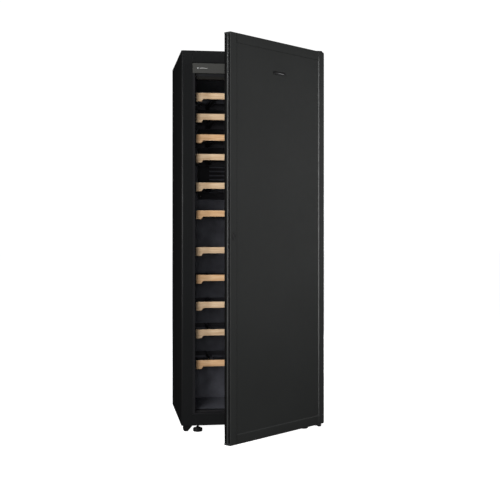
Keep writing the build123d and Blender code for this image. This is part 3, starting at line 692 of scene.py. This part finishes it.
def door_profiles():
    """The profiles around the door: the free stile has a finger groove, lined with near-black as painted
    shade, and, behind it, a bead.
    """
    low, high = closed_box("door_frame")
    skin, _ = closed_box("door_skin")
    border = skin.x - low.x
    face, back, recess = low.y, high.y, skin.y - low.y
    x, slope = low.x, low.x + border - BEVEL
    groove_from, groove_to, bead_to = face + LIP, face + 12 * MM, face + 23 * MM
    step, deep, lining = 1.5 * MM, 5 * MM, 0.8 * MM

    front = [(x + border, face + recess), (slope, face)]
    front += arc(x + LIP, face + LIP, LIP, 270, 180)
    free = front + [(x + 0.4 * MM, groove_from), (x + deep, groove_from + 1.2 * MM)]
    free += [(x + deep, groove_to), (x + border, groove_to)]
    # The grip outline is a thin near-black lining over the groove's floor and rear wall: painted shade in the
    # finger groove.
    grip = [(x + deep - lining, groove_from + 1.4 * MM), (x + deep, groove_from + 1.4 * MM)]
    grip += [(x + deep, groove_to), (x + lining, groove_to), (x + lining, groove_to - lining)]
    grip += [(x + deep - lining, groove_to - lining)]
    half_bead, sag = (bead_to - groove_to) / 2, 1.5 * MM
    bead_r = (half_bead ** 2 + sag ** 2) / (2 * sag)
    swing = math.degrees(math.asin(half_bead / bead_r))
    bead = arc(x + bead_r, groove_to + half_bead, bead_r, 180 + swing, 180 - swing, 12)
    bead += [(x + border, bead_to), (x + border, groove_to)]
    trim = [(x + step, bead_to), (x + step, back - 0.8 * MM), (x + step + 0.8 * MM, back)]
    trim += [(x + border, back), (x + border, bead_to)]
    under = [(slope, face + lining), (x + border, face + recess + lining)]
    plain = under[::-1] + front[1:]
    plain += [(x, back - REAR_EASE), (x + REAR_EASE, back), (x + border, back)]
    # The strip is a thin skin on the hinge-side bevel that carries the lighter paint: a painted highlight
    # down the bevel.
    strip = front[:2] + under

    def stile(name, outline, side, material="profile"):
        cap = CAP_FREE if side > 0 else CAP_HINGE
        points = [(side * px, py, low.z + cap) for px, py in outline]
        shape = prism(points, (0, 0, high.z - low.z - 2 * cap))
        piece = piece_from(name, hung(shape), MATERIALS[material], "door", 28)
        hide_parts("door_frame")

    def rail(name, z, up):
        outline = [(face + recess, z + up * border), (face, z + up * (border - BEVEL))]
        outline += arc(face + LIP, z + up * LIP, LIP, 180, 180 + up * 90)
        outline += [(back, z), (back, z + up * border)]
        points = [(-skin_half, py, pz) for py, pz in outline]
        piece = piece_from(name, hung(prism(points, (2 * skin_half, 0, 0))), MATERIALS["profile"], "door", 28)
        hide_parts("door_frame")

    skin_half = -skin.x
    stile("free_stile", free, 1)
    # The groove's lining is painted shade; the trim behind the bead is black plastic.
    stile("free_stile_groove_shade", grip, 1, "recess")
    # The bead and the hinge-side bevel strip wear the lighter, glossier paint: a painted highlight along
    # them.
    stile("free_stile_bead", bead, 1, "bead")
    stile("free_stile_trim", trim, 1, "recess")
    stile("hinge_stile", plain, -1)
    stile("hinge_bevel_highlight_strip", strip, -1, "bead")
    rail("bottom_rail", low.z, 1)
    rail("top_rail", high.z, -1)


def end_caps():
    """Rounded corner pieces that close the stiles above and below."""
    low, high = closed_box("door_end_caps")
    inner = closed_box("door_skin")[0].x
    steps = 8

    def fall(radius, t):
        """How far a quarter round has receded at a distance t from its end."""
        return radius - math.sqrt(max(radius ** 2 - max(radius - t, 0) ** 2, 0))

    for side, ease, corner, tall in ((-1, 0.8 * MM, 3 * MM, CAP_FREE), (1, REAR_EASE, 9 * MM, CAP_HINGE)):
        outline = [(inner, low.y + LIP), (inner - BEVEL, low.y)]
        outline += arc(low.x + LIP, low.y + LIP, LIP, 270, 180)
        outline += [(low.x, high.y - ease), (low.x + ease, high.y), (inner, high.y)]
        levels = [corner * (1 - math.cos(math.pi / 2 * k / steps)) for k in range(steps + 1)] + [tall]
        for end, up, place in ((low.z, 1, "bottom"), (high.z, -1, "top")):
            bm = bmesh.new()
            rings = []
            for t in levels:
                ring = []
                for px, py in outline:
                    outer = px - low.x < 10 * MM
                    px += fall(corner, t) * outer
                    py = max(py, low.y + fall(LIP, t))
                    ring.append(bm.verts.new((-side * px, py, end + up * t)))
                rings.append(ring)
            count = len(outline)
            for here, there in zip(rings, rings[1:]):
                for k in range(count):
                    bm.faces.new((here[k], here[(k + 1) % count], there[(k + 1) % count], there[k]))
            bm.faces.new(rings[0])
            bm.faces.new(rings[-1])
            edge = "free" if side < 0 else "hinge"
            cap = piece_from(f"corner_cap_{edge}_{place}", hung(bm), MATERIALS["profile"], "door", 28)
            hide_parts("door_end_caps")


door_profiles()
end_caps()
door_seal()
inner_panel()
blank_badge()


# ---------------------------------------------------------------- controls
DIGITS = {"1": "bc", "2": "abged"}
SEGMENTS = {
    "a": (0, 1, 1, 1), "b": (1, 0.5, 1, 1), "c": (1, 0, 1, 0.5), "d": (0, 0, 1, 0),
    "e": (0, 0, 0, 0.5), "f": (0, 0.5, 0, 1), "g": (0, 0.5, 1, 0.5),
}


def display_digits():
    """Two seven-segment digits and a degree ring behind the window's face."""
    low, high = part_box("display_window")
    front = low.y
    tall, wide, stroke, proud = 11 * MM, 6 * MM, 1.1 * MM, 0.16 * MM
    margin, pitch, degree_x = 9 * MM, 10 * MM, 31 * MM
    base = (low.z + high.z) / 2 - tall / 2
    bars = []
    for place, digit in enumerate("12"):
        left = low.x + margin + place * pitch
        for name in DIGITS[digit]:
            x0, z0, x1, z1 = SEGMENTS[name]
            ax, az = left + x0 * wide, base + z0 * tall
            bx, bz = left + x1 * wide, base + z1 * tall
            trim_x = stroke * 0.7 if x0 != x1 else -stroke / 2
            trim_z = stroke * 0.7 if z0 != z1 else -stroke / 2
            start = (ax + trim_x, front - proud, az + trim_z)
            bars.append(brick(start, (bx - trim_x, front + 0.1 * MM, bz - trim_z), 0.05 * MM, 1))
    inner, outer = 0.9 * MM, 1.5 * MM
    degree = lathe([(inner, 0), (outer, 0), (outer, proud), (inner, proud)], (0, 0), 24, ring=True)
    bars.append(facing(degree, (low.x + degree_x, front, base + tall - 1 * MM), (0, -1, 0)))
    digits = piece_from("display_digits", joined(*bars), MATERIALS["lit"], "cabinet")


def button_mark(node, body, plus):
    """Raised minus or plus on a button's face."""
    low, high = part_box(node)
    x, z = (low.x + high.x) / 2, (low.z + high.z) / 2
    half, thin = 2.0 * MM, 0.3 * MM
    strokes = [(half, z - thin, z + thin)]
    if plus:
        strokes += [(thin, *sorted((z + side * thin, z + side * half))) for side in (-1, 1)]
    bars = [
        brick((x - wide, low.y - 0.15 * MM, z0), (x + wide, low.y + 0.2 * MM, z1), 0.06 * MM, 1)
        for wide, z0, z1 in strokes
    ]
    mark = piece_from(f"{node}_mark", joined(*bars), MATERIALS["print"], body)


LENS_OUTLINE = ((3.2, 0), (3.2, 0.5), (2.7, 1.0), (1.6, 1.25), (0.4, 1.35))   # radius, height in mm


def fascia_mark():
    """Small lens and a plain line at the left end of the fascia."""
    low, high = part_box("control_fascia")
    z = (low.z + high.z) / 2
    lens_x, line_from, line_to, thin = low.x + 26 * MM, low.x + 34 * MM, low.x + 72 * MM, 1.1 * MM
    lens = lathe([(r * MM, h * MM) for r, h in LENS_OUTLINE], (0, 0), 32)
    facing(lens, (lens_x, low.y + 0.1 * MM, z), (0, -1, 0))
    dot = piece_from("fascia_lens", lens, MATERIALS["lens"], "cabinet")
    line = brick((line_from, low.y - 0.25 * MM, z - thin), (line_to, low.y + 0.2 * MM, z + thin), 0.2 * MM)
    bar = piece_from("fascia_line", line, MATERIALS["print"], "cabinet")


display_digits()
button_mark("button_down", "down_button", False)
button_mark("button_up", "up_button", True)
fascia_mark()


# ---------------------------------------------------------------- machinery at the back
def cooling_lines():
    """Copper lines between the compressor and the back of the cabinet."""
    low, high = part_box("compressor")
    mid_y = (low.y + high.y) / 2
    bay_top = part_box("casing_back")[0].z
    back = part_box("casing_back")[1].y
    start = Vector((high.x - 1 * MM, mid_y, low.z + 130 * MM))
    bends = ((-6, 0, 0), (20, 0, 0), (45, 6, 10), (52, 20, 50), (52, 20, 92))
    suction = [start + Vector(bend) * MM for bend in bends]
    tube("suction_line", suction, 3.2 * MM, MATERIALS["copper"], "cabinet")
    shell_x = low.x + 92 * MM
    rise_x = shell_x + 100 * MM
    discharge = [
        (shell_x + 50 * MM, mid_y + 20 * MM, low.z + 60 * MM),
        (shell_x + 78 * MM, mid_y + 40 * MM, low.z + 60 * MM),
        (rise_x, mid_y + 66 * MM, low.z + 90 * MM),
        (rise_x, back + 4 * MM, bay_top - 20 * MM),
        (rise_x, back + 5 * MM, bay_top + 80 * MM),
        (rise_x, back + 6 * MM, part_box("condenser")[0].z + 4 * MM),
    ]
    tube("discharge_line", discharge, 2.4 * MM, MATERIALS["copper"], "cabinet")


cooling_lines()


# ---------------------------------------------------------------- studio
def floor():
    """White sweep: it glows at full white, so neither its far edge nor a shadow shows."""
    reach = 40.0
    mesh = bpy.data.meshes.new("floor")
    mesh.from_pydata([(sx * reach, sy * reach, 0) for sx, sy in CORNERS], [], [(0, 1, 2, 3)])
    obj = bpy.data.objects.new("floor", mesh)
    bpy.context.scene.collection.objects.link(obj)
    pale = Surface("floor_pale", 0.8, specular=0.0)
    pale.colour(pale.ramp(pale.noise(1.5, 3), (0.3, (0.78, 0.78, 0.78)), (0.7, (0.8, 0.8, 0.8))))
    pale.set(Emission_Color=(1.0, 1.0, 1.0, 1.0), Emission_Strength=1.0)
    mesh.materials.append(pale.material)
    obj.visible_glossy = False
    obj.visible_diffuse = False


ROOM_LIGHT = 0.006
BACKDROP_LIGHT = 1.05


def surroundings():
    """White behind the object, and a dim room that lights it and is mirrored in it."""
    world = bpy.data.worlds.new("studio")
    world.use_nodes = True
    tree = world.node_tree
    ray = tree.nodes.new("ShaderNodeLightPath")
    level = tree.nodes.new("ShaderNodeMapRange")
    level.inputs["To Min"].default_value = ROOM_LIGHT
    level.inputs["To Max"].default_value = BACKDROP_LIGHT
    tree.links.new(ray.outputs["Is Camera Ray"], level.inputs["Value"])
    tree.links.new(level.outputs["Result"], tree.nodes["Background"].inputs["Strength"])
    tree.nodes["Background"].inputs["Color"].default_value = (1.0, 1.0, 1.0, 1.0)
    bpy.context.scene.world = world


# Name, azimuth, distance, height, target, size, power, and whether gloss mirrors it.
SOFTBOXES = (
    ("key_right", 30, 4.6, 1.3, (0, -0.3, 1.0), (0.9, 2.6), 78, True),
    ("key_left", -24, 4.2, 1.9, (0, -0.3, 1.2), (1.2, 2.0), 130, False),
    ("edge_left", -52, 3.8, 1.3, (-0.3, -0.3, 1.0), (0.35, 2.4), 55, True),
    ("side_right", 92, 4.0, 1.4, (0.1, -0.5, 1.1), (1.6, 2.4), 12, True),
    ("fill_front", -8.5, 4.9, 1.0, (0, -0.3, 0.9), (0.6, 0.6), 32, False),
    ("top", 0, 0.01, 4.2, (0, 0, 0), (3.0, 3.0), 30, False),
    ("back_right", 140, 4.2, 0.8, (0, 0.3, 0.9), (1.8, 1.3), 130, True),
)


def softbox(name, azimuth, distance, height, target, size, power, glossy):
    """Rectangular light; azimuth 0 is in front, 90 to the right."""
    light = bpy.data.lights.new(name, "AREA")
    light.shape = "RECTANGLE"
    light.size, light.size_y = size
    light.energy = power
    turn = math.radians(azimuth)
    place = Vector((distance * math.sin(turn), -distance * math.cos(turn), height))
    obj = bpy.data.objects.new(name, light)
    obj.location = place
    obj.rotation_mode = "QUATERNION"
    obj.rotation_quaternion = (Vector(target) - place).to_track_quat("-Z", "Y")
    obj.visible_glossy = glossy
    obj.visible_camera = False
    bpy.context.scene.collection.objects.link(obj)


SENSOR_WIDTH = 36.0
FOCAL_LENGTH = 71.9
SHIFT_UP = -0.0394
CAMERA_X = -0.7192
CAMERA_AWAY = 4.7578    # in front of the cabinet's face
CAMERA_Z = 0.9658
CAMERA_TURN = -8.485    # degrees, to the right


def camera():
    """Level camera about a metre up, to the left of the cabinet and turned a little towards it."""
    data = bpy.data.cameras.new("camera")
    data.sensor_width = SENSOR_WIDTH
    data.lens = FOCAL_LENGTH
    data.shift_y = SHIFT_UP
    cam = bpy.data.objects.new("camera", data)
    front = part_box("casing_sides")[0].y
    cam.location = (CAMERA_X, front - CAMERA_AWAY, CAMERA_Z)
    cam.rotation_euler = (math.radians(90), 0, math.radians(CAMERA_TURN))
    bpy.context.scene.collection.objects.link(cam)
    bpy.context.scene.camera = cam


surroundings()
floor()
for settings in SOFTBOXES:
    softbox(*settings)
camera()
bpy.context.scene.view_settings.view_transform = "Standard"
